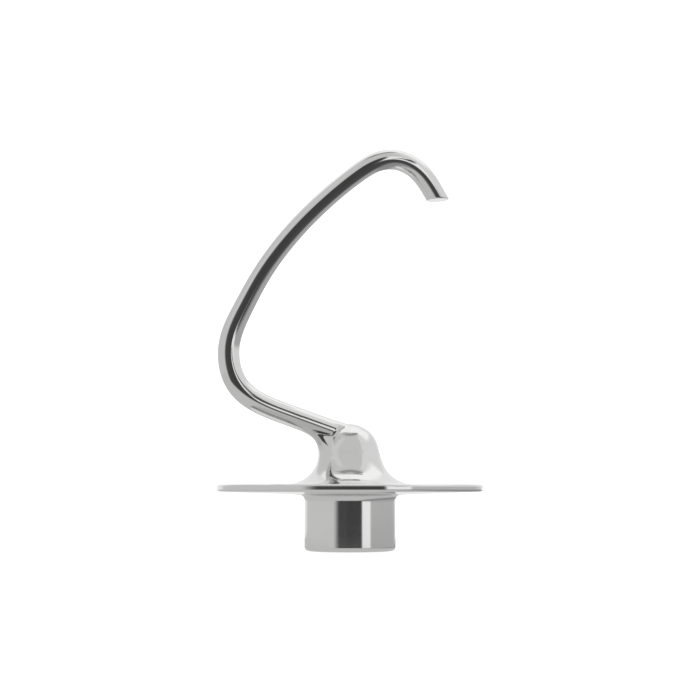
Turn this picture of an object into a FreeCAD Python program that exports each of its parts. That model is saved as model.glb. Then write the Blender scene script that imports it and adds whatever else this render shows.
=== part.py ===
"""Dough hook for a planetary kitchen mixer, standing on the mouth of its hub.

A polished stainless hook: a tapered round arm set in a bell-shaped boss, a
saucer-like guard disc, and a hub with a bayonet socket that hangs on the
mixer's drive shaft.  Millimetres.  The origin is the centre of the hub's mouth,
+Z runs up the drive axis towards the hook, the arm leaves the boss towards -X.
"""
import FreeCAD, Part

import math
import os

V = FreeCAD.Vector

# ----------------------------------------------------------------- dimensions
HUB_R = 15.1            # outside of the hub sleeve
HUB_BORE_R = 12.0       # inside of the sleeve, outside of the drive bush
HUB_H = 18.6            # mouth of the hub to the underside of the disc
HUB_EDGE_R = 1.4        # rounding of the sleeve's outer edge at the mouth
FIT = 0.02              # radial gap of the pressed fits

SHAFT_BORE_R = 6.4      # for a 12.7 mm drive shaft
BUSH_RECESS = 0.6       # the bush sits this far inside the mouth
BUSH_NECK_R = 8.5       # upper part of the bush, through the disc into the boss
BUSH_TOP_Z = 30.4
SLOT_W = 4.6            # bayonet slot, for a 4 mm cross pin
SLOT_TOP_Z = 11.2
SLOT_SEAT_DEG = 40.0    # turn from the entry slot to the pin's seat
SLOT_SEAT_DROP = 1.2    # the seat dips this far back towards the mouth
SLOT_AZ = 90.0          # the entry slot faces +Y

DISC_R = 44.25          # guard disc
DISC_TOP_Z = 21.6       # upper face near the boss
DISC_RIM_TOP_Z = 21.95
DISC_RIM_BOT_Z = 19.62
DISC_FLAT_R = 24.0      # the upper face starts to rise here
DISC_UNDER_R = 18.6     # the underside starts to rise here

BOSS_FOOT_R = 13.3      # boss wall where it stands on the disc
BOSS_KNEE = (11.4, 28.1)   # where the weld meets the boss wall
BOSS_CURVE = [(11.4, 28.1), (10.8, 29.45), (10.37, 30.8), (10.05, 32.1), (9.76, 33.4),
              (9.42, 34.75), (8.98, 36.1), (8.36, 37.4), (7.42, 38.75), (5.85, 40.1),
              (3.5, 41.4), (1.6, 42.02), (0.0, 42.2)]
BOSS_WELD_CURVE = [(11.4, 28.1), (12.15, 26.7), (13.2, 25.4), (14.65, 24.1), (15.75, 23.4),
                   (17.5, 22.65), (20.4, 21.98), (23.0, 21.74)]
HUB_WELD_CURVE = [(15.1, 16.6), (15.22, 17.35), (15.62, 17.95), (16.4, 18.33), (17.6, 18.5)]

# arm: axis of its straight root, then (x, y, z, radius) stations to past the tip
ROOT_POINT = V(0.0, 0.0, 37.55)
ROOT_DIR = V(-0.8840, -0.3466, 0.3138).normalize()
ROOT_R = 3.66
ROOT_END = -3.0         # the arm's end, measured along ROOT_DIR from ROOT_POINT
ARM = [
    (-23.90, -9.42, 46.01, 3.55),
    (-27.82, -11.01, 47.55, 3.54),
    (-31.56, -12.43, 49.46, 3.55),
    (-34.70, -13.44, 51.80, 3.61),
    (-36.63, -13.97, 54.01, 3.66),
    (-38.06, -14.28, 56.55, 3.69),
    (-39.04, -14.45, 59.38, 3.68),
    (-39.57, -14.50, 62.40, 3.64),
    (-39.67, -14.50, 65.40, 3.60),
    (-39.35, -14.50, 68.37, 3.56),
    (-38.29, -14.50, 72.22, 3.49),
    (-36.30, -14.50, 76.77, 3.38),
    (-34.05, -14.50, 81.24, 3.29),
    (-31.75, -14.49, 85.69, 3.23),
    (-29.28, -14.49, 90.05, 3.19),
    (-26.58, -14.48, 94.28, 3.17),
    (-23.71, -14.46, 98.30, 3.16),
    (-20.60, -14.44, 102.25, 3.15),
    (-17.32, -14.40, 106.06, 3.14),
    (-13.94, -14.35, 109.68, 3.14),
    (-10.37, -14.28, 113.23, 3.13),
    (-6.76, -14.19, 116.60, 3.13),
    (-2.94, -14.07, 119.91, 3.13),
    (0.92, -13.92, 123.02, 3.14),
    (4.01, -13.76, 125.34, 3.18),
    (6.29, -13.54, 126.91, 3.24),
    (8.66, -13.13, 128.22, 3.31),
    (11.29, -12.50, 129.13, 3.36),
    (13.93, -11.70, 129.46, 3.38),
    (16.55, -10.82, 129.25, 3.38),
    (19.09, -9.86, 128.52, 3.40),
    (21.44, -8.87, 127.30, 3.43),
    (23.47, -7.90, 125.70, 3.47),
    (25.23, -6.90, 123.75, 3.50),
    (26.76, -5.93, 121.67, 3.52),
    (28.19, -4.92, 119.42, 3.53),
    (29.53, -3.94, 117.19, 3.53),
    (30.93, -2.97, 115.00, 3.54),
    (32.33, -2.00, 112.80, 3.54),
]
TIP_POINT = V(29.53, -3.94, 117.19)   # middle of the tip's cut face
TIP_RISE = 0.10                       # the cut rises this much per mm towards +X
TIP_EDGE_R = 0.35

# weld saddle under the arm: (distance out along the root, radius, drop below the axis)
SADDLE = [(5.0, 8.2, 4.75), (7.2, 7.1, 3.65), (9.2, 6.05, 2.6), (11.2, 5.15, 1.68),
          (13.4, 4.42, 0.93), (15.8, 3.95, 0.44), (18.6, 3.70, 0.17)]


# -------------------------------------------------------------------- helpers
def spline(points):
    curve = Part.BSplineCurve()
    curve.interpolate([V(r, 0, z) for r, z in points])
    return curve.toShape()


def line(a, b):
    return Part.LineSegment(V(a[0], 0, a[1]), V(b[0], 0, b[1])).toShape()


def turned(edges):
    """Solid of revolution about Z of a closed outline in the XZ plane."""
    face = Part.Face(Part.Wire(Part.__sortEdges__(edges)))
    solid = face.revolve(V(0, 0, 0), V(0, 0, 1), 360)
    if solid.Volume < 0:
        solid.reverse()
    return Part.Solid(solid) if solid.ShapeType == "Shell" else solid


def turned_polygon(points):
    pts = list(points) + [points[0]]
    return turned([line(a, b) for a, b in zip(pts, pts[1:])])


def rod(start, direction, r, length):
    return Part.makeCylinder(r, length, start, direction)


def ring_section(centre, normal, r, side=V(0, 1, 0)):
    """Circle wire about centre as two half circles, which meet at +side and -side."""
    n = V(normal).normalize()
    x = (side - n * side.dot(n)).normalize() * r
    y = n.cross(x)
    return Part.Wire([Part.Arc(centre + x, centre + y, centre - x).toShape(),
                      Part.Arc(centre - x, centre - y, centre + x).toShape()])


def one_solid(shape, name):
    solids = [s for s in shape.Solids if s.Volume > 0.02]
    if not solids:
        raise RuntimeError(name + " has no solid")
    out = solids[0] if len(solids) == 1 else Part.makeCompound(solids)
    if not out.isValid():
        out.fix(0.001, 0.001, 0.01)
    return out


# ------------------------------------------------------------------ guard disc
def make_disc():
    mid = (DISC_RIM_TOP_Z + DISC_RIM_BOT_Z) / 2
    nose = (DISC_RIM_TOP_Z - DISC_RIM_BOT_Z) / 2
    rim_r = DISC_R - nose
    hole = BUSH_NECK_R
    top_in, top_out = (DISC_FLAT_R, DISC_TOP_Z), (rim_r, DISC_RIM_TOP_Z)
    bot_in, bot_out = (DISC_UNDER_R, HUB_H), (rim_r, DISC_RIM_BOT_Z)
    rim = Part.Arc(V(top_out[0], 0, top_out[1]), V(DISC_R, 0, mid), V(bot_out[0], 0, bot_out[1])).toShape()
    return turned([
        line((hole, HUB_H), (hole, DISC_TOP_Z)),
        line((hole, DISC_TOP_Z), top_in),
        line(top_in, top_out),
        rim,
        line(bot_out, bot_in),
        line(bot_in, (hole, HUB_H)),
    ])


# ------------------------------------------------------------------------- hub
def make_sleeve():
    r, c = HUB_R, HUB_EDGE_R
    k = c * (1 - math.sqrt(0.5))
    corner = Part.Arc(V(r - c, 0, 0), V(r - k, 0, k), V(r, 0, c)).toShape()
    return turned([
        line((HUB_BORE_R + 0.3, 0), (r - c, 0)),
        corner,
        line((r, c), (r, HUB_H)),
        line((r, HUB_H), (HUB_BORE_R, HUB_H)),
        line((HUB_BORE_R, HUB_H), (HUB_BORE_R, 0.3)),
        line((HUB_BORE_R, 0.3), (HUB_BORE_R + 0.3, 0)),
    ])


def make_hub_weld():
    first, last = HUB_WELD_CURVE[0], HUB_WELD_CURVE[-1]
    return turned([
        spline(HUB_WELD_CURVE),
        line(last, (last[0], HUB_H)),
        line((last[0], HUB_H), (HUB_R, HUB_H)),
        line((HUB_R, HUB_H), first),
    ])


def make_bush():
    z0 = BUSH_RECESS
    ro, rn, ri = HUB_BORE_R - FIT, BUSH_NECK_R - FIT, SHAFT_BORE_R
    body = turned_polygon([
        (ri, z0), (ro - 0.4, z0), (ro, z0 + 0.4), (ro, HUB_H), (rn, HUB_H),
        (rn, BUSH_TOP_Z - 0.5), (rn - 0.5, BUSH_TOP_Z), (ri, BUSH_TOP_Z),
    ])
    half = SLOT_W / 2
    seat_z = SLOT_TOP_Z - half
    # entry slot, straight up from the mouth
    entry = Part.makeBox(20, SLOT_W, seat_z + 1.0, V(3.0, -half, -1.0))
    entry = entry.fuse(rod(V(3.0, 0, seat_z), V(1, 0, 0), half, 20))
    # turning leg
    leg_face = Part.Face(Part.makePolygon([V(3, 0, seat_z - half), V(23, 0, seat_z - half),
                                           V(23, 0, seat_z + half), V(3, 0, seat_z + half),
                                           V(3, 0, seat_z - half)]))
    leg = leg_face.revolve(V(0, 0, 0), V(0, 0, 1), SLOT_SEAT_DEG)
    # seat, which dips back towards the mouth
    a = math.radians(SLOT_SEAT_DEG)
    out = V(math.cos(a), math.sin(a), 0)
    seat = rod(out * 3.0 + V(0, 0, seat_z), out, half, 20)
    seat = seat.fuse(rod(out * 3.0 + V(0, 0, seat_z - SLOT_SEAT_DROP), out, half, 20))
    dip = Part.makeBox(20, SLOT_W, SLOT_SEAT_DROP, V(3.0, -half, seat_z - SLOT_SEAT_DROP))
    dip.rotate(V(0, 0, 0), V(0, 0, 1), SLOT_SEAT_DEG)
    slot = entry.fuse([leg, seat, dip])
    slot.rotate(V(0, 0, 0), V(0, 0, 1), SLOT_AZ)
    return body.cut(slot)


# ------------------------------------------------------------------------ boss
def boss_blank():
    return turned([
        line((0, DISC_TOP_Z), (BOSS_FOOT_R, DISC_TOP_Z)),
        line((BOSS_FOOT_R, DISC_TOP_Z), BOSS_KNEE),
        spline(BOSS_CURVE),
        line((0, BOSS_CURVE[-1][1]), (0, DISC_TOP_Z)),
    ])


def make_boss(blank):
    cavity = Part.makeCylinder(BUSH_NECK_R, BUSH_TOP_Z + 0.1 - DISC_TOP_Z, V(0, 0, DISC_TOP_Z))
    socket = rod(ROOT_POINT + ROOT_DIR * (ROOT_END - 0.1), ROOT_DIR, ROOT_R + FIT, 40)
    return blank.cut(cavity).cut(socket)


def make_boss_weld():
    first, last = BOSS_WELD_CURVE[0], BOSS_WELD_CURVE[-1]
    return turned([
        spline(BOSS_WELD_CURVE),
        line(last, (last[0], DISC_TOP_Z)),
        line((last[0], DISC_TOP_Z), (BOSS_FOOT_R, DISC_TOP_Z)),
        line((BOSS_FOOT_R, DISC_TOP_Z), first),
    ])


# ------------------------------------------------------------------------- arm
def make_arm():
    stations = [(ROOT_POINT + ROOT_DIR * t, ROOT_R) for t in (ROOT_END, 2.5, 8.0)]
    stations += [(ROOT_POINT + ROOT_DIR * 13.5, 3.64), (ROOT_POINT + ROOT_DIR * 18.5, 3.60)]
    stations += [(V(x, y, z), r) for x, y, z, r in ARM]
    axis = Part.BSplineCurve()
    axis.interpolate([p for p, _ in stations])
    wires = []
    for p, r in stations:
        t = axis.tangent(axis.parameter(p))[0]
        wires.append(ring_section(p, t, r))
    arm = Part.makeLoft(wires, True, False)
    # slanting cut at the tip
    n = V(-TIP_RISE, 0, 1).normalize()
    below = Part.makeBox(60, 60, 60, V(-30, -30, -60))
    below.Placement = FreeCAD.Placement(TIP_POINT, FreeCAD.Rotation(V(0, 0, 1), n))
    near_tip = Part.makeBox(40, 40, 40, TIP_POINT + V(-15, -20, -30))
    arm = arm.cut(below.common(near_tip))
    arm = one_solid(arm, "hook_arm")
    edges = []
    for e in arm.Edges:
        c = e.BoundBox.Center
        if (c - TIP_POINT).Length < 4 and abs((c - TIP_POINT).dot(n)) < 0.4:
            edges.append(e)
    try:
        rounded = arm.makeFillet(TIP_EDGE_R, edges)
        if rounded.isValid() and rounded.Volume > 0.9 * arm.Volume:
            arm = rounded
    except Exception as error:
        print("tip edge left sharp:", error)
    return arm


def make_arm_weld(arm, blank, boss_weld):
    side = ROOT_DIR.cross(V(0, 0, 1)).normalize()
    down = ROOT_DIR.cross(side).normalize()
    if down.z > 0:
        down = down * -1
    wires = []
    for t, r, drop in SADDLE:
        wires.append(ring_section(ROOT_POINT + ROOT_DIR * t + down * drop, ROOT_DIR, r, side))
    saddle = Part.makeLoft(wires, True, False)
    hole = rod(ROOT_POINT - ROOT_DIR * 2, ROOT_DIR, ROOT_R + FIT, 40)
    return saddle.cut(blank).cut(hole).cut(boss_weld)


def main():
    os.makedirs("parts", exist_ok=True)
    blank = boss_blank()
    boss_weld = make_boss_weld()
    arm = make_arm()
    nodes = {
        "hook_arm": arm,
        "neck_boss": make_boss(blank),
        "arm_weld": make_arm_weld(arm, blank, boss_weld),
        "boss_weld": boss_weld,
        "guard_disc": make_disc(),
        "hub_sleeve": make_sleeve(),
        "hub_weld": make_hub_weld(),
        "drive_bush": make_bush(),
    }
    for name, shape in nodes.items():
        solid = one_solid(shape, name)
        b = solid.BoundBox
        print("%-11s solids %d valid %s volume %9.1f  x %.2f..%.2f y %.2f..%.2f z %.2f..%.2f" % (
            name, len(solid.Solids), solid.isValid(), solid.Volume,
            b.XMin, b.XMax, b.YMin, b.YMax, b.ZMin, b.ZMax))
        solid.exportStep("parts/%s.step" % name)


main()
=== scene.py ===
"""Dough hook for a stand mixer: polished stainless, standing on the mouth of its hub."""
import math

import bmesh
import bpy
import numpy as np
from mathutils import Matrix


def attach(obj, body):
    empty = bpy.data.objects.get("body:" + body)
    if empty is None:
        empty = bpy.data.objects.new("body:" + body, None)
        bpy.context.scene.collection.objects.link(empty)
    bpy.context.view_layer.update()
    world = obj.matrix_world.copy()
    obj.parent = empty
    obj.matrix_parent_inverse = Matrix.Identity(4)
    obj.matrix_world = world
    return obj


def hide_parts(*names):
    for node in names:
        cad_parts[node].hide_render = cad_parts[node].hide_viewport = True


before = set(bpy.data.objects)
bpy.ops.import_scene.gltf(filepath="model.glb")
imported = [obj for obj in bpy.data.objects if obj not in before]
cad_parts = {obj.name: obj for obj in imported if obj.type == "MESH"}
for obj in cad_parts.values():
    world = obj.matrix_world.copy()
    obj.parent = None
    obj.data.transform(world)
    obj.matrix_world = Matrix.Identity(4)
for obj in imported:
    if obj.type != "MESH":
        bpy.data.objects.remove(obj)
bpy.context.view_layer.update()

MM = 0.001

# ------------------------------------------------------------------ dimensions, mm
ROOT_POINT = np.array([0.0, 0.0, 37.55])
ROOT_DIR = np.array([-0.8840, -0.3466, 0.3138])
ROOT_DIR /= np.linalg.norm(ROOT_DIR)
ROOT = [(-3.0, 3.66), (2.5, 3.66), (8.0, 3.66), (13.5, 3.64), (17.0, 3.61), (19.5, 3.595), (22.0, 3.58)]
SEAM_T = 19.5           # the neck's own mesh ends here, along the arm's root
ARM = [
    (-27.82, -11.01, 47.55, 3.55), (-31.56, -12.43, 49.46, 3.56), (-34.70, -13.44, 51.80, 3.61),
    (-36.63, -13.97, 54.01, 3.66), (-38.06, -14.28, 56.55, 3.69), (-39.04, -14.45, 59.38, 3.68),
    (-39.57, -14.50, 62.40, 3.64), (-39.67, -14.50, 65.40, 3.60), (-39.35, -14.50, 68.37, 3.56),
    (-38.29, -14.50, 72.22, 3.49), (-36.30, -14.50, 76.77, 3.38), (-34.05, -14.50, 81.24, 3.29),
    (-31.75, -14.49, 85.69, 3.23), (-29.28, -14.49, 90.05, 3.19), (-26.58, -14.48, 94.28, 3.17),
    (-23.71, -14.46, 98.30, 3.16), (-20.60, -14.44, 102.25, 3.15), (-17.32, -14.40, 106.06, 3.14),
    (-13.94, -14.35, 109.68, 3.14), (-10.37, -14.28, 113.23, 3.13), (-6.76, -14.19, 116.60, 3.13),
    (-2.94, -14.07, 119.91, 3.13), (0.92, -13.92, 123.02, 3.14), (4.01, -13.76, 125.34, 3.18),
    (6.29, -13.54, 126.91, 3.24), (8.66, -13.13, 128.22, 3.31), (11.29, -12.50, 129.13, 3.36),
    (13.93, -11.70, 129.46, 3.38), (16.55, -10.82, 129.25, 3.38), (19.09, -9.86, 128.52, 3.40),
    (21.44, -8.87, 127.30, 3.43), (23.47, -7.90, 125.70, 3.47), (25.23, -6.90, 123.75, 3.50),
    (26.76, -5.93, 121.67, 3.52), (28.19, -4.92, 119.42, 3.53), (29.53, -3.94, 117.19, 3.53),
    (30.93, -2.97, 115.00, 3.54), (32.33, -2.00, 112.80, 3.54),
]
TIP_POINT = np.array([29.53, -3.94, 117.19])
TIP_NORMAL = np.array([0.10, 0.0, -1.0])
TIP_NORMAL /= np.linalg.norm(TIP_NORMAL)
TIP_EDGE = 0.42

BELL = [(0.0, 42.2), (1.6, 42.02), (3.5, 41.4), (5.85, 40.1), (7.42, 38.75), (8.36, 37.4), (8.98, 36.1),
        (9.42, 34.75), (9.76, 33.4), (10.05, 32.1), (10.37, 30.8), (10.8, 29.45), (11.4, 28.1), (12.15, 26.7),
        (13.2, 25.4), (14.65, 24.1), (15.75, 23.4), (17.5, 22.65), (20.4, 21.98), (23.4, 21.64),
        (27.0, 21.46), (33.0, 21.35), (40.0, 21.3)]
TOE_Z = 21.64
BLEND_SIDE, BLEND_UNDER, BLEND_TOP, BLEND_POWER = 1.2, 11.0, 4.0, 2.5

HUB_R, HUB_BORE_R, HUB_H, HUB_EDGE_R = 15.1, 12.0, 18.6, 1.4
DISC_R, DISC_TOP_Z, DISC_RIM_TOP_Z, DISC_RIM_BOT_Z = 44.23, 21.6, 21.95, 19.62
DISC_RIM_R, DISC_HOLE_R = 0.8, 8.5


# ------------------------------------------------------------------ curves
def cubic(t, y):
    """Natural cubic spline through (t, y): returns a function of t."""
    t, y = np.asarray(t, float), np.asarray(y, float)
    y = y.reshape(len(t), -1)
    n, h = len(t), np.diff(t)
    a = np.eye(n)
    b = np.zeros_like(y)
    for i in range(1, n - 1):
        a[i, i - 1], a[i, i], a[i, i + 1] = h[i - 1], 2 * (h[i - 1] + h[i]), h[i]
        b[i] = 6 * ((y[i + 1] - y[i]) / h[i] - (y[i] - y[i - 1]) / h[i - 1])
    m = np.linalg.solve(a, b)

    def at(x):
        x = np.asarray(x, float)
        i = np.clip(np.searchsorted(t, x) - 1, 0, n - 2)
        d = (x - t[i])[:, None]
        e = (t[i + 1] - x)[:, None]
        g = h[i][:, None]
        return (m[i] * e ** 3 + m[i + 1] * d ** 3) / (6 * g) + (y[i] / g - m[i] * g / 6) * e + (y[i + 1] / g - m[i + 1] * g / 6) * d

    return at


def smoothed(values, step, sigma):
    """Gaussian smoothing of evenly spaced rows; the ends run on straight."""
    n = int(math.ceil(4 * sigma / step))
    w = np.exp(-0.5 * (np.arange(-n, n + 1) * step / sigma) ** 2)
    w /= w.sum()
    head = 2 * values[0] - values[n:0:-1]
    tail = 2 * values[-1] - values[-2:-n - 2:-1]
    padded = np.vstack([head, values, tail])
    return np.stack([np.convolve(padded[:, c], w, "valid") for c in range(values.shape[1])], 1)


def evenly(points, step):
    """Points of a dense polyline at even steps of its length."""
    s = np.concatenate([[0], np.cumsum(np.linalg.norm(np.diff(points[:, :3], axis=0), axis=1))])
    n = int(round(s[-1] / step)) + 1
    x = np.linspace(0, s[-1], n)
    return np.stack([np.interp(x, s, points[:, c]) for c in range(points.shape[1])], 1), x


def arm_axis(step=0.1):
    """Dense centreline of the arm with its radius: rows of x, y, z, r, from the root's end to past the tip."""
    rows = [(*(ROOT_POINT + ROOT_DIR * t), r) for t, r in ROOT] + ARM
    rows = np.array(rows, float)
    s = np.concatenate([[0], np.cumsum(np.linalg.norm(np.diff(rows[:, :3], axis=0), axis=1))])
    dense = cubic(s, rows)(np.linspace(0, s[-1], 6000))
    even, x = evenly(dense, step)
    even[:, :3] = smoothed(even[:, :3], step, 1.8)
    even[:, 3:] = smoothed(even[:, 3:], step, 4.0)
    # the root is straight and true as far as the seam
    t = (even[:, :3] - ROOT_POINT) @ ROOT_DIR
    keep = np.clip((x[:len(even)] + ROOT[0][0] - (SEAM_T + 0.5)) / 5.0, 0, 1)[:, None]
    keep = keep * keep * (3 - 2 * keep)
    line = ROOT_POINT + t[:, None] * ROOT_DIR
    even[:, :3] = line * (1 - keep) + even[:, :3] * keep
    return even


AXIS = arm_axis()


def root_radius(t):
    near = AXIS[:300]
    return np.interp(t, (near[:, :3] - ROOT_POINT) @ ROOT_DIR, near[:, 3])


# ------------------------------------------------------------------ mesh helpers
def new_mesh(name, verts, faces, normals=None):
    """Mesh in metres from millimetres; normals are one per vertex."""
    me = bpy.data.meshes.new(name)
    me.from_pydata((np.asarray(verts) * MM).tolist(), [], [list(map(int, f)) for f in faces])
    me.validate()
    me.polygons.foreach_set("use_smooth", [True] * len(me.polygons))
    if normals is not None:
        me.normals_split_custom_set_from_vertices(np.asarray(normals).tolist())
    me.update()
    ob = bpy.data.objects.new(name, me)
    bpy.context.scene.collection.objects.link(ob)
    return ob


def corner_path(points, radii, arc_step=math.radians(6), guard=0.25, flat_step=1.5):
    """Closed (r, z) outline with its corners rounded: points, outward normals.

    The outline runs so that the solid lies on its left.
    """
    n = len(points)
    pts, nrm = [], []
    p = [np.array(q, float) for q in points]
    arcs = []
    for i in range(n):
        a, b, c = p[i - 1], p[i], p[(i + 1) % n]
        d0, d1 = (b - a) / np.linalg.norm(b - a), (c - b) / np.linalg.norm(c - b)
        turn = math.atan2(d0[0] * d1[1] - d0[1] * d1[0], d0 @ d1)
        r = radii[i]
        if abs(turn) < 1e-4 or r <= 0:
            arcs.append((b, b, d0, d1, 0, 0, b))
            continue
        cut = r * math.tan(abs(turn) / 2)
        arcs.append((b - d0 * cut, b + d1 * cut, d0, d1, turn, r, b))
    for i in range(n):
        s, e, d0, d1, turn, r, b = arcs[i]
        out0 = np.array([d0[1], -d0[0]])
        if r:
            steps = max(2, int(math.ceil(abs(turn) / arc_step)))
            centre = s - out0 * r * math.copysign(1, turn)
            for k in range(steps + 1):
                ang = turn * k / steps
                o = np.array([out0[0] * math.cos(ang) - out0[1] * math.sin(ang),
                              out0[0] * math.sin(ang) + out0[1] * math.cos(ang)])
                pts.append(centre + o * r * math.copysign(1, turn))
                nrm.append(o)
        else:
            pts.append(b)
            o = out0 + np.array([d1[1], -d1[0]])
            nrm.append(o / np.linalg.norm(o))
        nxt = arcs[(i + 1) % n][0]
        length = np.linalg.norm(nxt - e)
        if length > 2.2 * guard:
            out1 = np.array([d1[1], -d1[0]])
            inner = max(1, int(round((length - 2 * guard) / flat_step)))
            for x in [guard + (length - 2 * guard) * k / inner for k in range(inner + 1)]:
                pts.append(e + (nxt - e) * x / length)
                nrm.append(out1)
    return np.array(pts), np.array(nrm)


def lathe(name, outline, normals, seg=384):
    """Closed ring turned about Z from a closed outline with one normal per point."""
    m = len(outline)
    ang = np.arange(seg) * 2 * math.pi / seg
    ca, sa = np.cos(ang)[:, None], np.sin(ang)[:, None]
    r, z = outline[:, 0][None], outline[:, 1][None]
    v = np.stack([ca * r, sa * r, np.repeat(z, seg, 0)], 2).reshape(-1, 3)
    nr, nz = normals[:, 0][None], normals[:, 1][None]
    nv = np.stack([ca * nr, sa * nr, np.repeat(nz, seg, 0)], 2).reshape(-1, 3)
    i = np.arange(seg)[:, None] * m
    j = np.arange(m)[None]
    i2, j2 = (np.arange(seg)[:, None] + 1) % seg * m, (np.arange(m)[None] + 1) % m
    f = np.stack([i + j, i2 + j, i2 + j2, i + j2], 2).reshape(-1, 4)
    return new_mesh(name, v, f, nv)


# ------------------------------------------------------------------ arm
def build_arm():
    axis = AXIS
    t = (axis[:, :3] - ROOT_POINT) @ ROOT_DIR
    first = int(np.argmin(np.abs(t[:400] - SEAM_T)))
    step = 0.1
    tang = np.gradient(axis[:, :3], axis=0)
    tang /= np.linalg.norm(tang, axis=1)[:, None]
    # frames carried along without twist
    up = np.array([0.0, 1.0, 0.0])
    xs = np.zeros_like(tang)
    x = up - tang[first] * (up @ tang[first])
    x /= np.linalg.norm(x)
    xs[first] = x
    for i in range(first + 1, len(axis)):
        x = x - tang[i] * (x @ tang[i])
        x /= np.linalg.norm(x)
        xs[i] = x
    ys = np.cross(tang, xs)
    around = 112
    th = np.arange(around) * 2 * math.pi / around
    c, s = np.cos(th), np.sin(th)

    def ring(i):
        """Ring of the tube at a fractional index of the dense axis, one index per angle or a single one."""
        i = np.broadcast_to(np.asarray(i, float), (around,))
        lo = np.clip(np.floor(i).astype(int), 0, len(axis) - 2)
        f = (i - lo)[:, None]
        mix = lambda a: a[lo] * (1 - f) + a[lo + 1] * f
        ce, ra, xx, yy = mix(axis[:, :3]), mix(axis[:, 3:]), mix(xs), mix(ys)
        return ce + ra * (xx * c[:, None] + yy * s[:, None])

    # where each line along the tube meets the slanting cut
    near = int(np.argmin(np.linalg.norm(axis[:, :3] - TIP_POINT, axis=1)))
    idx = np.arange(near - 60, min(near + 60, len(axis) - 1))
    height = np.stack([(ring(i) - TIP_POINT) @ TIP_NORMAL for i in idx], 0)
    cut = np.array([np.interp(0.0, height[:, k], idx) for k in range(around)])
    base = near - 62
    rings, lay_s = [], []
    rows = list(np.arange(first, base, 4.0))
    for i in rows:
        rings.append(ring(i))
        lay_s.append(np.full(around, (i - first) * step))
    side_end = cut - TIP_EDGE / step
    for f in np.linspace(0, 1, 24):
        i = base + (side_end - base) * f
        rings.append(ring(i))
        lay_s.append((i - first) * step)
    p0, p1 = ring(side_end), ring(cut)
    middle = p1.mean(0)
    inward = middle - p1
    inward /= np.linalg.norm(inward, axis=1)[:, None]
    p2 = p1 + inward * TIP_EDGE
    for f in np.linspace(0, 1, 10)[1:]:
        rings.append(p0 * (1 - f) ** 2 + p1 * 2 * f * (1 - f) + p2 * f * f)
        lay_s.append((side_end - first) * step + TIP_EDGE * 2 * f)
    for f in (0.12, 0.35, 0.6, 0.85):
        rings.append(p2 * (1 - f) + middle * f)
        lay_s.append((side_end - first) * step + 1 + 3 * f)
    # short spigot inside the neck
    inner = axis[first, :3] + 0.55 * (rings[0] - axis[first, :3])
    spigot = [inner - ROOT_DIR * 2.0, inner + 0.0]
    grid = np.array(spigot + rings)
    lay = np.array([np.zeros(around), np.zeros(around)] + lay_s)
    n = len(grid)
    along = np.gradient(grid, axis=0)
    along[2] = grid[3] - grid[2]
    across = np.roll(grid, -1, 1) - np.roll(grid, 1, 1)
    nrm = np.cross(across, along)
    nrm /= np.maximum(np.linalg.norm(nrm, axis=2), 1e-9)[..., None]
    centre_line = grid.mean(1)[:, None]
    if np.sum((grid[20] - centre_line[20]) * nrm[20]) < 0:
        nrm = -nrm
    verts = np.vstack([grid.reshape(-1, 3), middle[None], (inner - ROOT_DIR * 2.0).mean(0)[None]])
    normals = np.vstack([nrm.reshape(-1, 3), TIP_NORMAL[None], -ROOT_DIR[None]])
    faces = []
    for i in range(n - 1):
        for j in range(around):
            k = (j + 1) % around
            faces.append((i * around + j, i * around + k, (i + 1) * around + k, (i + 1) * around + j))
    tip, end = n * around, n * around + 1
    for j in range(around):
        k = (j + 1) % around
        faces.append(((n - 1) * around + j, (n - 1) * around + k, tip))
        faces.append((k, j, end))
    a, b, cc = (np.array(verts)[list(faces[5 * around][:3])][q] for q in range(3))
    if np.cross(b - a, cc - a) @ (a - centre_line[5, 0]) < 0:
        faces = [tuple(reversed(f)) for f in faces]
    ob = new_mesh("hook_arm_rod", verts, faces, normals)
    # polishing runs along the arm: direction round the rod, and length along it
    lay_attr = ob.data.attributes.new("lay", "FLOAT_VECTOR", "POINT")
    vec = np.zeros((len(verts), 3))
    vec[:n * around, 0] = np.tile(c, n)
    vec[:n * around, 1] = np.tile(s, n)
    vec[:n * around, 2] = lay.reshape(-1) * MM
    vec[n * around, 2] = lay[-1].mean() * MM
    lay_attr.data.foreach_set("vector", vec.astype(np.float32).reshape(-1))
    return ob


# ------------------------------------------------------------------ neck: boss, flare and saddle in one skin
def bell_curve():
    """Dense outline of the boss and its flare, from the axis outwards, with outward normals."""
    pts = np.array([(-r, z) for r, z in BELL[3:0:-1]] + BELL, float)
    s = np.concatenate([[0], np.cumsum(np.linalg.norm(np.diff(pts, axis=0), axis=1))])
    dense = cubic(s, pts)(np.linspace(0, s[-1], 4000))
    s2 = np.concatenate([[0], np.cumsum(np.linalg.norm(np.diff(dense, axis=0), axis=1))])
    x = np.arange(0, s2[-1], 0.06)
    even = np.stack([np.interp(x, s2, dense[:, c]) for c in range(2)], 1)
    even = smoothed(even, 0.06, 1.3)
    t = np.gradient(even, axis=0)
    t /= np.linalg.norm(t, axis=1)[:, None]
    n = np.stack([-t[:, 1], t[:, 0]], 1)
    start = int(np.argmax(even[:, 0] > -0.6))
    return even[start:], n[start:]


BELL_P, BELL_N = bell_curve()


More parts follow.
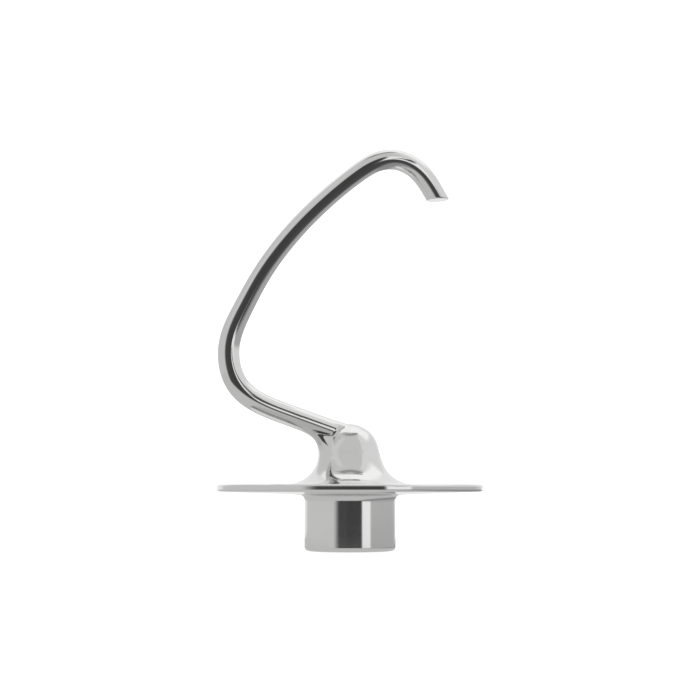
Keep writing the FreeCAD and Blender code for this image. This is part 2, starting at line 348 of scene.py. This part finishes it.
def bell_distance(r, z):
    """Signed distance to the boss's outline and the outline's normal there, for many points."""
    out = np.empty(len(r))
    grad = np.empty((len(r), 2))
    for a in range(0, len(r), 20000):
        q = np.stack([r[a:a + 20000], z[a:a + 20000]], 1)
        d2 = ((q[:, None, :] - BELL_P[None, ::4]) ** 2).sum(2)
        i = np.argmin(d2, 1) * 4
        best = None
        for off in range(-4, 4):
            j = np.clip(i + off, 0, len(BELL_P) - 2)
            p0, p1 = BELL_P[j], BELL_P[j + 1]
            e = p1 - p0
            f = np.clip(((q - p0) * e).sum(1) / (e * e).sum(1), 0, 1)[:, None]
            w = q - (p0 + e * f)
            d = (w * w).sum(1)
            nn = BELL_N[j] * (1 - f) + BELL_N[j + 1] * f
            if best is None:
                best, bw, bn = d, w, nn
            else:
                m = d < best
                best = np.where(m, d, best)
                bw = np.where(m[:, None], w, bw)
                bn = np.where(m[:, None], nn, bn)
        sign = np.where((bw * bn).sum(1) >= 0, 1.0, -1.0)
        out[a:a + 20000] = sign * np.sqrt(best)
        grad[a:a + 20000] = bn / np.linalg.norm(bn, axis=1)[:, None]
    return out, grad


SIDE_V = np.cross(ROOT_DIR, [0, 0, 1.0])
SIDE_V /= np.linalg.norm(SIDE_V)
DOWN_V = np.cross(ROOT_DIR, SIDE_V)
if DOWN_V[2] > 0:
    DOWN_V = -DOWN_V


def ease(x):
    x = np.clip(x, 0, 1)
    return x * x * x * (x * (6 * x - 15) + 10)


def blend_width(p):
    """Size of the fillet between arm and boss: wide under the arm, tight at its sides."""
    w = p - ROOT_POINT
    w = w - (w @ ROOT_DIR)[:, None] * ROOT_DIR
    c = (w @ DOWN_V) / np.sqrt((w * w).sum(1) + 0.3)
    t = (p - ROOT_POINT) @ ROOT_DIR
    return (0.12 + 0.88 * ease((t - 0.5) / 6.5)) * (BLEND_SIDE + (BLEND_UNDER - BLEND_SIDE) * ease((c - 0.5) / 0.48) + (BLEND_TOP - BLEND_SIDE) * ease((-c - 0.1) / 0.8))


def joined(a, b, k):
    h = np.maximum(k - np.abs(a - b), 0) / k
    return np.minimum(a, b) - k * h ** BLEND_POWER / (2 * BLEND_POWER), h


def rod_distance(p):
    w = p - ROOT_POINT
    t = w @ ROOT_DIR
    w = w - np.maximum(t, -2.0)[:, None] * ROOT_DIR
    d = np.sqrt((w * w).sum(1))
    return d - root_radius(t), w / np.maximum(d, 1e-6)[:, None]


def neck_field(p):
    """Signed distance of the neck and its gradient, at many points."""
    r = np.hypot(p[:, 0], p[:, 1])
    a, ga = bell_distance(r, p[:, 2])
    rr = np.maximum(r, 1e-6)
    ga = np.stack([ga[:, 0] * p[:, 0] / rr, ga[:, 0] * p[:, 1] / rr, ga[:, 1]], 1)
    b, gb = rod_distance(p)
    k = blend_width(p)
    f, h = joined(a, b, k)
    w = 0.5 * h ** (BLEND_POWER - 1)
    wa = np.where(a < b, 1 - w, w)[:, None]
    g = ga * wa + gb * (1 - wa)
    gk = np.stack([(blend_width(p + e) - blend_width(p - e)) / 0.1 for e in np.eye(3) * 0.05], 1)
    dk = -h ** BLEND_POWER / (2 * BLEND_POWER) - 0.5 * h ** (BLEND_POWER - 1) * np.abs(a - b) / k
    g = g + gk * dk[:, None]
    return f, g


def surface_nets(field, origin, pitch):
    """Quad skin of the zero level of a 3-D grid of values."""
    inside = field < 0
    nx, ny, nz = field.shape
    total = np.zeros((nx - 1, ny - 1, nz - 1), int)
    for dx in (0, 1):
        for dy in (0, 1):
            for dz in (0, 1):
                total += inside[dx:nx - 1 + dx, dy:ny - 1 + dy, dz:nz - 1 + dz]
    active = (total > 0) & (total < 8)
    index = -np.ones(active.shape, int)
    cells = np.argwhere(active)
    index[active] = np.arange(len(cells))
    acc, cnt = np.zeros((len(cells), 3)), np.zeros(len(cells))
    corners = [np.array(c) for c in np.ndindex(2, 2, 2)]
    for c0 in corners:
        for ax in range(3):
            if c0[ax]:
                continue
            c1 = c0.copy()
            c1[ax] = 1
            f0 = field[tuple((cells + c0).T)]
            f1 = field[tuple((cells + c1).T)]
            cross = (f0 < 0) != (f1 < 0)
            t = np.where(cross, f0 / np.where(cross, f0 - f1, 1), 0)
            acc += np.where(cross[:, None], c0 + (c1 - c0) * t[:, None], 0)
            cnt += cross
    verts = origin + (cells + acc / cnt[:, None]) * pitch
    quads = []
    for ax in range(3):
        o1, o2 = [(1, 2), (2, 0), (0, 1)][ax]
        lo = [slice(None)] * 3
        hi = [slice(None)] * 3
        lo[ax], hi[ax] = slice(0, -1), slice(1, None)
        change = inside[tuple(lo)] != inside[tuple(hi)]
        at = np.argwhere(change)
        ok = (at[:, o1] > 0) & (at[:, o2] > 0) & (at[:, o1] < field.shape[o1] - 1) & (at[:, o2] < field.shape[o2] - 1)
        at = at[ok]
        e1, e2 = np.zeros(3, int), np.zeros(3, int)
        e1[o1], e2[o2] = 1, 1
        q = np.stack([index[tuple((at - e1 - e2).T)], index[tuple((at - e2).T)],
                      index[tuple(at.T)], index[tuple((at - e1).T)]], 1)
        flip = ~inside[tuple(at.T)]
        q[flip] = q[flip][:, ::-1]
        quads.append(q)
    return verts, np.vstack(quads)


def build_neck():
    pitch = 0.36
    lo, hi = np.array([-27.0, -26.0, 20.9]), np.array([26.0, 26.0, 49.5])
    n = np.ceil((hi - lo) / pitch).astype(int) + 1
    ax = [lo[i] + np.arange(n[i]) * pitch for i in range(3)]
    # boss: look its distance up in a flat table, near enough to find the skin
    tr, tz = np.arange(0, 40.2, 0.12), np.arange(20.0, 50.2, 0.12)
    gr, gz = np.meshgrid(tr, tz, indexing="ij")
    table = bell_distance(gr.ravel(), gz.ravel())[0].reshape(gr.shape)
    gx, gy, gzz = np.meshgrid(*ax, indexing="ij")
    r = np.hypot(gx, gy)
    fi, fj = np.clip(r / 0.12, 0, len(tr) - 1.01), np.clip((gzz - 20.0) / 0.12, 0, len(tz) - 1.01)
    i, j = fi.astype(int), fj.astype(int)
    u, v = fi - i, fj - j
    a = (table[i, j] * (1 - u) * (1 - v) + table[i + 1, j] * u * (1 - v)
         + table[i, j + 1] * (1 - u) * v + table[i + 1, j + 1] * u * v).ravel()
    p = np.stack([gx.ravel(), gy.ravel(), gzz.ravel()], 1)
    b = rod_distance(p)[0]
    field = joined(a, b, blend_width(p))[0].reshape(gx.shape)
    verts, quads = surface_nets(field, lo, pitch)
    t = (verts - ROOT_POINT) @ ROOT_DIR
    rv = np.hypot(verts[:, 0], verts[:, 1])
    keep = (t < SEAM_T + 1.0) & (rv < 25.6)
    quads = quads[keep[quads].all(1)]
    for _ in range(5):
        f, g = neck_field(verts)
        verts = verts - (f / np.maximum((g * g).sum(1), 0.2))[:, None] * g
    bm = bmesh.new()
    used = np.unique(quads)
    remap = -np.ones(len(verts), int)
    remap[used] = np.arange(len(used))
    bv = [bm.verts.new(c) for c in verts[used]]
    for q in remap[quads]:
        try:
            bm.faces.new([bv[k] for k in q])
        except ValueError:
            pass
    geom = bm.verts[:] + bm.edges[:] + bm.faces[:]
    bmesh.ops.bisect_plane(bm, geom=geom, dist=1e-5, plane_co=ROOT_POINT + ROOT_DIR * SEAM_T, plane_no=ROOT_DIR, clear_outer=True)
    geom = bm.verts[:] + bm.edges[:] + bm.faces[:]
    bmesh.ops.bisect_plane(bm, geom=geom, dist=1e-5, plane_co=(0, 0, TOE_Z), plane_no=(0, 0, -1), clear_outer=True)
    bmesh.ops.remove_doubles(bm, verts=bm.verts[:], dist=0.02)
    # keep the one skin that holds the dome
    bm.verts.ensure_lookup_table()
    top = max(bm.verts, key=lambda q: q.co.z - abs(q.co.x) - abs(q.co.y))
    seen, stack = {top}, [top]
    while stack:
        for e in stack.pop().link_edges:
            for q in e.verts:
                if q not in seen:
                    seen.add(q)
                    stack.append(q)
    bmesh.ops.delete(bm, geom=[q for q in bm.verts if q not in seen], context="VERTS")
    bm.verts.ensure_lookup_table()
    co = np.array([q.co for q in bm.verts])
    edge_t = np.abs((co - ROOT_POINT) @ ROOT_DIR - SEAM_T) < 1e-3
    edge_z = np.abs(co[:, 2] - TOE_Z) < 1e-3
    for _ in range(3):
        f, g = neck_field(co)
        g2 = g.copy()
        g2[edge_t] -= (g[edge_t] @ ROOT_DIR)[:, None] * ROOT_DIR
        g2[edge_z, 2] = 0
        co = co - (f / np.maximum((g2 * g2).sum(1), 0.05 if edge_z.any() else 0.2))[:, None] * g2 * np.where(edge_z, 0.0, 1.0)[:, None]
    for q, c in zip(bm.verts, co):
        q.co = c
    # skirt into the disc, and caps
    skin = set(bm.faces)
    rim = [e for e in bm.edges if e.is_boundary and all(abs(q.co.z - TOE_Z) < 1e-3 for q in e.verts)]
    out = bmesh.ops.extrude_edge_only(bm, edges=rim)["geom"]
    for q in out:
        if isinstance(q, bmesh.types.BMVert):
            q.co.z = DISC_TOP_Z - 0.25
    bmesh.ops.holes_fill(bm, edges=[e for e in bm.edges if e.is_boundary], sides=0)
    bm.faces.ensure_lookup_table()
    for f in bm.faces:
        f.material_index = 0 if f in skin else 1
    bm.normal_update()
    me = bpy.data.meshes.new("neck_body")
    bm.to_mesh(me)
    bm.free()
    co = np.empty(len(me.vertices) * 3)
    me.vertices.foreach_get("co", co)
    co = co.reshape(-1, 3)
    g = neck_field(co)[1]
    g /= np.linalg.norm(g, axis=1)[:, None]
    me.polygons.foreach_set("use_smooth", [True] * len(me.polygons))
    loops = np.zeros((len(me.loops), 3))
    for poly in me.polygons:
        for li in poly.loop_indices:
            loops[li] = g[me.loops[li].vertex_index] if poly.material_index == 0 else poly.normal
    for poly in me.polygons:
        poly.material_index = 0
    me.vertices.foreach_set("co", (co * MM).ravel())
    me.update()
    me.normals_split_custom_set(loops.tolist())
    ob = bpy.data.objects.new("neck_body", me)
    bpy.context.scene.collection.objects.link(ob)
    return ob


# ------------------------------------------------------------------ turned pieces
def build_disc():
    nose = DISC_RIM_R
    out, nrm = corner_path(
        [(DISC_HOLE_R, HUB_H), (18.6, HUB_H), (DISC_R, DISC_RIM_BOT_Z - 0.045), (DISC_R, DISC_RIM_TOP_Z + 0.02),
         (24.5, DISC_TOP_Z), (22.6, DISC_TOP_Z), (22.4, DISC_TOP_Z - 0.3), (DISC_HOLE_R, DISC_TOP_Z - 0.3)],
        [0.1, 60.0, nose, nose, 120.0, 0.05, 0.05, 0.1])
    return lathe("guard_disc_plate", out, nrm, 512)


def build_sleeve():
    out, nrm = corner_path(
        [(HUB_BORE_R, 0), (HUB_R, 0), (HUB_R, HUB_H), (HUB_BORE_R, HUB_H)],
        [0.3, HUB_EDGE_R, 0.05, 0.05])
    return lathe("hub_sleeve_tube", out, nrm, 384)


def build_hub_weld():
    """Concave ground fillet between sleeve and disc."""
    pts = np.array([(15.1, 15.9), (15.105, 16.4), (15.19, 17.1), (15.45, 17.72), (15.95, 18.18), (16.7, 18.44), (17.6, 18.55), (18.5, 18.575)])
    s = np.concatenate([[0], np.cumsum(np.linalg.norm(np.diff(pts, axis=0), axis=1))])
    curve = cubic(s, pts)(np.linspace(0, s[-1], 48))
    t = np.gradient(curve, axis=0)
    t /= np.linalg.norm(t, axis=1)[:, None]
    n = np.stack([t[:, 1], -t[:, 0]], 1)
    back = np.array([(18.5, 18.75), (14.8, 18.75), (14.8, 15.9)])
    bn = np.array([(0.7, 0.7), (-0.7, 0.7), (-0.7, -0.7)])
    return lathe("hub_fillet_ring", np.vstack([curve, back]), np.vstack([n, bn]), 384)


# ------------------------------------------------------------------ materials
class Nodes:
    """Small helper to write a node tree."""

    def __init__(self, tree):
        self.tree = tree
        tree.nodes.clear()

    def add(self, kind, inputs=None, **props):
        node = self.tree.nodes.new(kind)
        for key, value in props.items():
            setattr(node, key, value)
        for key, value in (inputs or {}).items():
            if isinstance(value, bpy.types.NodeSocket):
                self.tree.links.new(value, node.inputs[key])
            else:
                node.inputs[key].default_value = value
        return node

    def link(self, a, b):
        self.tree.links.new(a, b)


def steel(name, lay, light=0.80, dark=0.755, rough=(0.045, 0.085), grain=0.03, wave=0.02):
    """Polished stainless steel. lay is how the polishing runs: along the arm, turned about the axis, or every way."""
    mat = bpy.data.materials.new(name)
    mat.use_nodes = True
    n = Nodes(mat.node_tree)
    out = n.add("ShaderNodeOutputMaterial")
    bsdf = n.add("ShaderNodeBsdfPrincipled", {"Metallic": 1.0})
    n.link(bsdf.outputs[0], out.inputs[0])
    place = n.add("ShaderNodeTexCoord").outputs["Object"]
    if lay == "along":
        a = n.add("ShaderNodeAttribute", attribute_name="lay", attribute_type="GEOMETRY").outputs["Vector"]
        fine = n.add("ShaderNodeVectorMath", {0: a, 1: (42.0, 42.0, 60.0)}, operation="MULTIPLY").outputs[0]
    elif lay == "turned":
        x = n.add("ShaderNodeSeparateXYZ", {0: place})
        flat = n.add("ShaderNodeCombineXYZ", {"X": x.outputs[0], "Y": x.outputs[1], "Z": 0.0}).outputs[0]
        r = n.add("ShaderNodeVectorMath", {0: flat}, operation="LENGTH").outputs["Value"]
        rz = n.add("ShaderNodeCombineXYZ", {"X": r, "Y": x.outputs[2], "Z": x.outputs[0]}).outputs[0]
        fine = n.add("ShaderNodeVectorMath", {0: rz, 1: (5200.0, 5200.0, 30.0)}, operation="MULTIPLY").outputs[0]
    else:
        fine = n.add("ShaderNodeVectorMath", {0: place, 1: (2600.0, 2600.0, 2600.0)}, operation="MULTIPLY").outputs[0]
    grain_tex = n.add("ShaderNodeTexNoise", {"Vector": fine, "Scale": 1.0, "Detail": 3.0, "Roughness": 0.55})
    cloud = n.add("ShaderNodeTexNoise", {"Vector": place, "Scale": 85.0, "Detail": 4.0, "Roughness": 0.55})
    haze = n.add("ShaderNodeTexNoise", {"Vector": place, "Scale": 28.0, "Detail": 2.0, "Roughness": 0.5})
    # colour: nearly neutral, a shade darker where the polish is thinner
    tone = n.add("ShaderNodeMix", {"Factor": cloud.outputs["Fac"], "A": (dark, dark * 0.998, dark * 0.99, 1), "B": (light, light * 0.998, light * 0.992, 1)},
                 data_type="RGBA")
    tone_in = {i.name: i for i in tone.inputs if i.type == "RGBA"}
    tone_in["A"].default_value = (dark, dark * 0.998, dark * 0.992, 1)
    tone_in["B"].default_value = (light, light * 0.999, light * 0.994, 1)
    n.link([o for o in tone.outputs if o.type == "RGBA"][0], bsdf.inputs["Base Color"])
    mixed = n.add("ShaderNodeMath", {0: cloud.outputs["Fac"], 1: haze.outputs["Fac"]}, operation="MULTIPLY").outputs[0]
    streak = n.add("ShaderNodeMath", {0: mixed, 1: grain_tex.outputs["Fac"]}, operation="ADD").outputs[0]
    ramp = n.add("ShaderNodeMapRange", {"Value": streak, "From Min": 0.45, "From Max": 1.05, "To Min": rough[0], "To Max": rough[1]}).outputs[0]
    n.link(ramp, bsdf.inputs["Roughness"])
    soft = n.add("ShaderNodeBump", {"Height": haze.outputs["Fac"], "Strength": wave, "Distance": 0.0012})
    hair = n.add("ShaderNodeBump", {"Height": grain_tex.outputs["Fac"], "Strength": grain, "Distance": 0.00004, "Normal": soft.outputs[0]})
    n.link(hair.outputs[0], bsdf.inputs["Normal"])
    return mat


def flat_stage(name, colour, emission, strength):
    mat = bpy.data.materials.new(name)
    mat.use_nodes = True
    n = Nodes(mat.node_tree)
    out = n.add("ShaderNodeOutputMaterial")
    bsdf = n.add("ShaderNodeBsdfPrincipled", {"Base Color": (*colour, 1), "Roughness": 0.9, "Specular IOR Level": 0.0,
                                              "Emission Color": (*emission, 1), "Emission Strength": strength})
    n.link(bsdf.outputs[0], out.inputs[0])
    return mat


def dress(ob, mat):
    ob.data.materials.clear()
    ob.data.materials.append(mat)


# ------------------------------------------------------------------ object
m_arm = steel("steel_arm", "along")
m_neck = steel("steel_neck", "every", rough=(0.05, 0.10))
m_disc = steel("steel_disc", "turned")
m_hub = steel("steel_hub", "turned", rough=(0.06, 0.11))
m_bush = steel("steel_bush", "turned", light=0.62, dark=0.5, rough=(0.22, 0.38), grain=0.35, wave=0.0)

arm = build_arm()
neck = build_neck()
disc = build_disc()
sleeve = build_sleeve()
fillet = build_hub_weld()

for ob, mat, slot, nodes in (
    (arm, m_arm, "polished_arm", ("hook_arm",)),
    (neck, m_neck, "polished_boss", ("neck_boss", "arm_weld", "boss_weld")),
    (disc, m_disc, "polished_disc", ("guard_disc",)),
    (sleeve, m_hub, "polished_hub", ("hub_sleeve",)),
    (fillet, m_hub, "polished_hub", ("hub_weld",)),
):
    dress(ob, mat)
    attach(ob, "root")
    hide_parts(*nodes)
dress(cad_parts["drive_bush"], m_bush)


# ------------------------------------------------------------------ stage
def sheet(name, corners, mat):
    """One flat face from its corners, in mm."""
    me = bpy.data.meshes.new(name)
    me.from_pydata([(x * MM, y * MM, z * MM) for x, y, z in corners], [], [tuple(range(len(corners)))])
    ob = bpy.data.objects.new(name, me)
    bpy.context.scene.collection.objects.link(ob)
    me.materials.append(mat)
    return ob


def plane(name, x0, x1, y0, y1, z, mat):
    return sheet(name, [(x0, y0, z), (x1, y0, z), (x1, y1, z), (x0, y1, z)], mat)


def only(ob, camera=False, glossy=False, diffuse=False, shadow=False):
    ob.visible_camera, ob.visible_glossy, ob.visible_diffuse = camera, glossy, diffuse
    ob.visible_transmission = ob.visible_volume_scatter = False
    ob.visible_shadow = shadow


def smooth_step(n, value, a, b):
    return n.add("ShaderNodeMapRange", {"Value": value, "From Min": a, "From Max": b, "To Min": 0.0, "To Max": 1.0},
                 interpolation_type="SMOOTHSTEP", clamp=True).outputs[0]


def angle_about_z(n, x, y):
    """Direction round the object in degrees: 0 towards the camera, + to its right."""
    front = n.add("ShaderNodeMath", {0: y, 1: -1.0}, operation="MULTIPLY").outputs[0]
    turn = n.add("ShaderNodeMath", {0: x, 1: front}, operation="ARCTAN2").outputs[0]
    return n.add("ShaderNodeMath", {0: turn, 1: 180 / math.pi}, operation="MULTIPLY").outputs[0]


def product(n, a, b):
    return n.add("ShaderNodeMath", {0: a, 1: b}, operation="MULTIPLY").outputs[0]


def inverse(n, a):
    return n.add("ShaderNodeMath", {0: 1.0, 1: a}, operation="SUBTRACT").outputs[0]


def over(n, base, level, mask):
    """base where the mask is 0, level where it is 1."""
    diff = n.add("ShaderNodeMath", {0: level, 1: base}, operation="SUBTRACT").outputs[0]
    return n.add("ShaderNodeMath", {0: diff, 1: mask, 2: base}, operation="MULTIPLY_ADD").outputs[0]


def between(n, value, lo, hi, soft):
    return product(n, smooth_step(n, value, lo - soft / 2, lo + soft / 2), inverse(n, smooth_step(n, value, hi - soft / 2, hi + soft / 2)))


def ground_light(name):
    """The floor as the steel sees it: a sheet glowing pale in place of a lit floor, fading out towards its front edge
    and to the right, its glow dimmed on the right as painted shade.
    """
    mat = bpy.data.materials.new(name)
    mat.use_nodes = True
    n = Nodes(mat.node_tree)
    out = n.add("ShaderNodeOutputMaterial")
    xyz = n.add("ShaderNodeSeparateXYZ", {0: n.add("ShaderNodeTexCoord").outputs["Object"]})
    x, y = xyz.outputs[0], xyz.outputs[1]
    mask = product(n, smooth_step(n, y, -0.190, -0.115), inverse(n, smooth_step(n, x, 0.095, 0.150)))
    # painted shade: the glow drops from 0.60 to 0.30 towards the right, where the ground is out of the light
    glow = n.add("ShaderNodeEmission", {"Strength": over(n, 0.60, 0.30, smooth_step(n, x, 0.025, 0.075))})
    mix = n.add("ShaderNodeMixShader", {0: mask, 1: n.add("ShaderNodeBsdfTransparent").outputs[0], 2: glow.outputs[0]})
    n.link(mix.outputs[0], out.inputs[0])
    return mat


floor = plane("floor", -6000, 6000, -6000, 6000, -0.3, flat_stage("floor_white", (0.22, 0.22, 0.22), (1, 1, 1), 0.93))
only(floor, camera=True)
# sheet seen only in reflections, glowing in place of the lit floor, with painted shade on its right
table = plane("table", -300, 160, -210, 350, -8, ground_light("floor_glow_painted_shade"))
only(table, glossy=True)
bm = bmesh.new()
bmesh.ops.create_uvsphere(bm, u_segments=64, v_segments=32, radius=7.0)
me = bpy.data.meshes.new("backdrop")
bm.to_mesh(me)
bm.free()
backdrop = bpy.data.objects.new("backdrop", me)
bpy.context.scene.collection.objects.link(backdrop)
me.materials.append(flat_stage("backdrop_white", (0.9, 0.9, 0.9), (1, 1, 1), 1.0))
only(backdrop, camera=True)


def studio_world():
    """Soft tent of light with dark and bright panels, by direction round the object."""
    world = bpy.data.worlds.new("studio")
    bpy.context.scene.world = world
    world.use_nodes = True
    n = Nodes(world.node_tree)
    out = n.add("ShaderNodeOutputWorld")
    bg = n.add("ShaderNodeBackground", {"Strength": 1.0})
    n.link(bg.outputs[0], out.inputs[0])
    d = n.add("ShaderNodeSeparateXYZ", {0: n.add("ShaderNodeTexCoord").outputs["Generated"]})
    az = angle_about_z(n, d.outputs[0], d.outputs[1])
    el = n.add("ShaderNodeMath", {0: d.outputs[2]}, operation="ARCSINE").outputs[0]
    el = n.add("ShaderNodeMath", {0: el, 1: 180 / math.pi}, operation="MULTIPLY").outputs[0]

    def panel(base, level, a0, a1, e0, e1, soft_a=3.0, soft_e=3.0, lean=0.0):
        across = az
        if lean:
            across = n.add("ShaderNodeMath", {0: el, 1: -lean, 2: az}, operation="MULTIPLY_ADD").outputs[0]
        return over(n, base, level, product(n, between(n, across, a0, a1, soft_a), between(n, el, e0, e1, soft_e)))

    sky = WORLD_BASE
    for args in WORLD_PANELS:
        sky = panel(sky, *args)
    n.link(sky, bg.inputs["Color"])


# level, azimuth from and to (0 is the camera's side, + to its right), elevation from and to, softness of each, lean
WORLD_BASE = 0.65
WORLD_PANELS = [
    (0.80, 50, 155, 2, 62, 6, 6),                # right wall
    (1.10, 85, 190, 36, 95, 36, 14),             # windows high behind, right and left
    (1.05, -190, -112, 46, 95, 16, 14),
    (0.90, 142, 190, -30, 46, 14, 20),           # back wall
    (0.90, -190, -142, -30, 46, 14, 20),
    (0.35, -95, 95, 69, 82, 18, 6),              # gap overhead
    (0.73, -90, -70, 24, 55, 8, 8, 0.75),        # light high on the left
    (0.45, 20, 155, -95, 0, 10, 6),              # ground on the right, out of the light
    (0.07, -30, 47, -95, -8, 38, 4, -0.95),      # ground in front, out of the light
    (0.07, -35, 10, -27, 25, 18, 7),             # dark wall behind the camera, its left edge soft
    (0.06, -8, 30, -27, 25, 5, 7),
    (0.98, 31, 53, -5, 24, 3, 5),                # upright light on the right
    (0.08, 30, 37, 4, 25, 3, 3, 0.8),            # gap above it
]
studio_world()

# ------------------------------------------------------------------ camera
cam_data = bpy.data.cameras.new("camera")
cam_data.sensor_width = 36.0
cam_data.lens = 36.0 * 1500.0 / 700.0
cam_data.clip_start, cam_data.clip_end = 0.01, 50.0
cam = bpy.data.objects.new("camera", cam_data)
cam.location = (0.0, -0.5021, 0.02106)
cam.rotation_euler = (math.radians(90) + math.atan(137.0 / 1500.0), 0.0, 0.0)
bpy.context.scene.collection.objects.link(cam)
bpy.context.scene.camera = cam

bpy.context.scene.view_settings.view_transform = "Standard"
bpy.context.scene.view_settings.look = "None"
